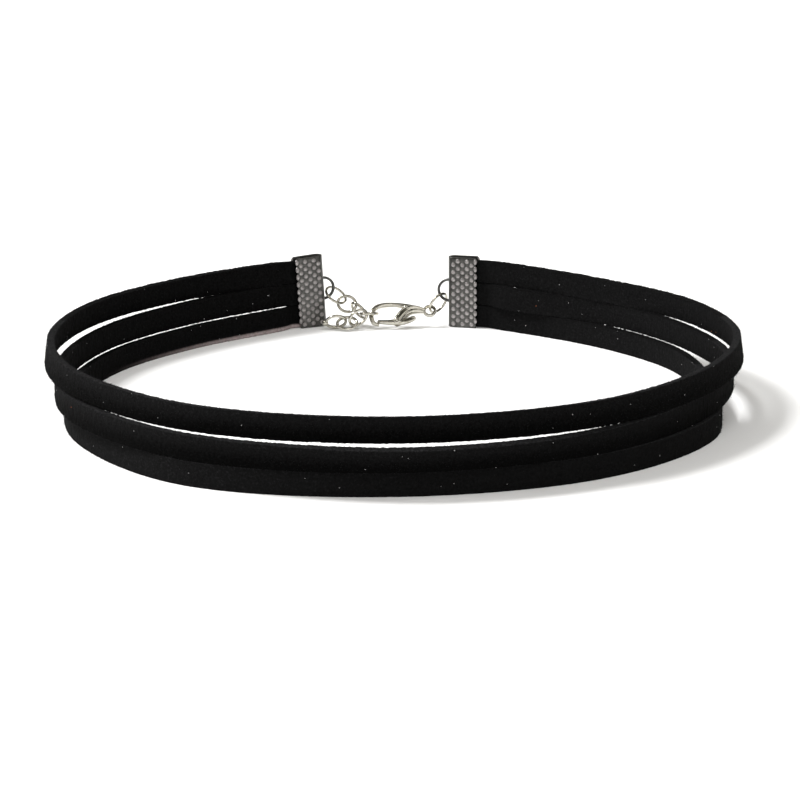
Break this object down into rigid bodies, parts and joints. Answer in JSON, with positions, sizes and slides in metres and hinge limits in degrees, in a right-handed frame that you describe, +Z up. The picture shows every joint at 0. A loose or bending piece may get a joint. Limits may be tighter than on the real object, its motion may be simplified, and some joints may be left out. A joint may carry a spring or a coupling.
{
  "type": "choker necklace",
  "caption": "Choker of stacked flat suede strips held in ribbon crimp ends, closed by a sprung lobster clasp and a short extension chain.",
  "frame": {"origin": "on the surface that the necklace stands on, under the middle of its box", "axes": "+Z up through the neck opening, +Y from the front of the loop to the clasp, +X to the jump ring side of the clasp"},
  "size_m": [0.1208, 0.127, 0.0138],
  "materials": {
    "suede": "napped matt black faux suede",
    "crimp_metal": "plated steel, slightly dull, raised dots",
    "chain_metal": "bright silver-coloured plating"
  },
  "bodies": {
    "necklace": {"strip_bottom": "suede", "strip_middle": "suede", "strip_top": "suede", "crimp_left": "crimp_metal", "crimp_right": "crimp_metal", "ring_left": "chain_metal", "ring_right": "chain_metal", "link_1": "chain_metal", "link_2": "chain_metal", "link_3": "chain_metal", "link_4": "chain_metal", "link_5": "chain_metal", "link_6": "chain_metal", "clasp_body": "chain_metal", "clasp_pin": "chain_metal"},
    "lever": {"clasp_lever": "chain_metal"}
  },
  "joints": [
    {"name": "lever_hinge", "type": "hinge", "parent": "necklace", "child": "lever", "pos_m": [0.0005, 0.05728, 0.00135], "axis": [0, 0.7071, -0.7071], "range_deg": [0, 18], "stiffness_Nm_per_rad": 0.0004}
  ]
}
